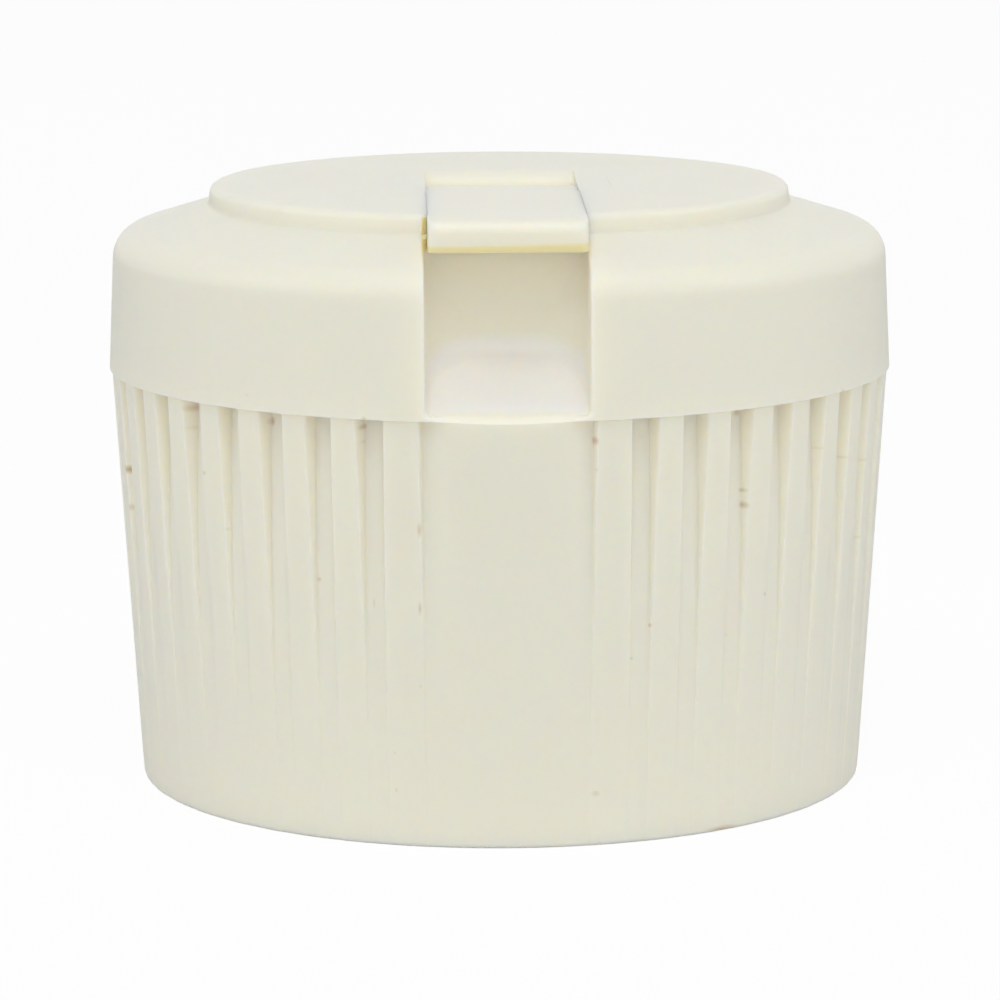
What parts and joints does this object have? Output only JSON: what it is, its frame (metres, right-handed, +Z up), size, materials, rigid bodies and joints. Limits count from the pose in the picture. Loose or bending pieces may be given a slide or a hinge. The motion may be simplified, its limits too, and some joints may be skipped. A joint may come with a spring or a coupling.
{
  "type": "flip top cap",
  "caption": "Ribbed screw-on bottle cap whose dispensing spout lies flat in a channel on top and turns upright to pour.",
  "frame": {"origin": "centre of the open mouth in the plane of the bottom rim, which stands on the floor", "axes": "+Z up through the deck, -Y to the front with the finger recess, X along the spout's hinge"},
  "size_m": [0.033, 0.033, 0.0252],
  "materials": {
    "cap_body_plastic": "semi-gloss ivory polypropylene, slightly translucent",
    "flip_spout_plastic": "semi-gloss ivory polypropylene, slightly translucent"
  },
  "bodies": {
    "cap": {"cap_body": "cap_body_plastic"},
    "spout": {"flip_spout": "flip_spout_plastic"}
  },
  "joints": [
    {"name": "spout_hinge", "type": "hinge", "parent": "cap", "child": "spout", "pos_m": [0, 0, 0.02157], "axis": [-1, 0, 0], "range_deg": [0, 90]}
  ]
}
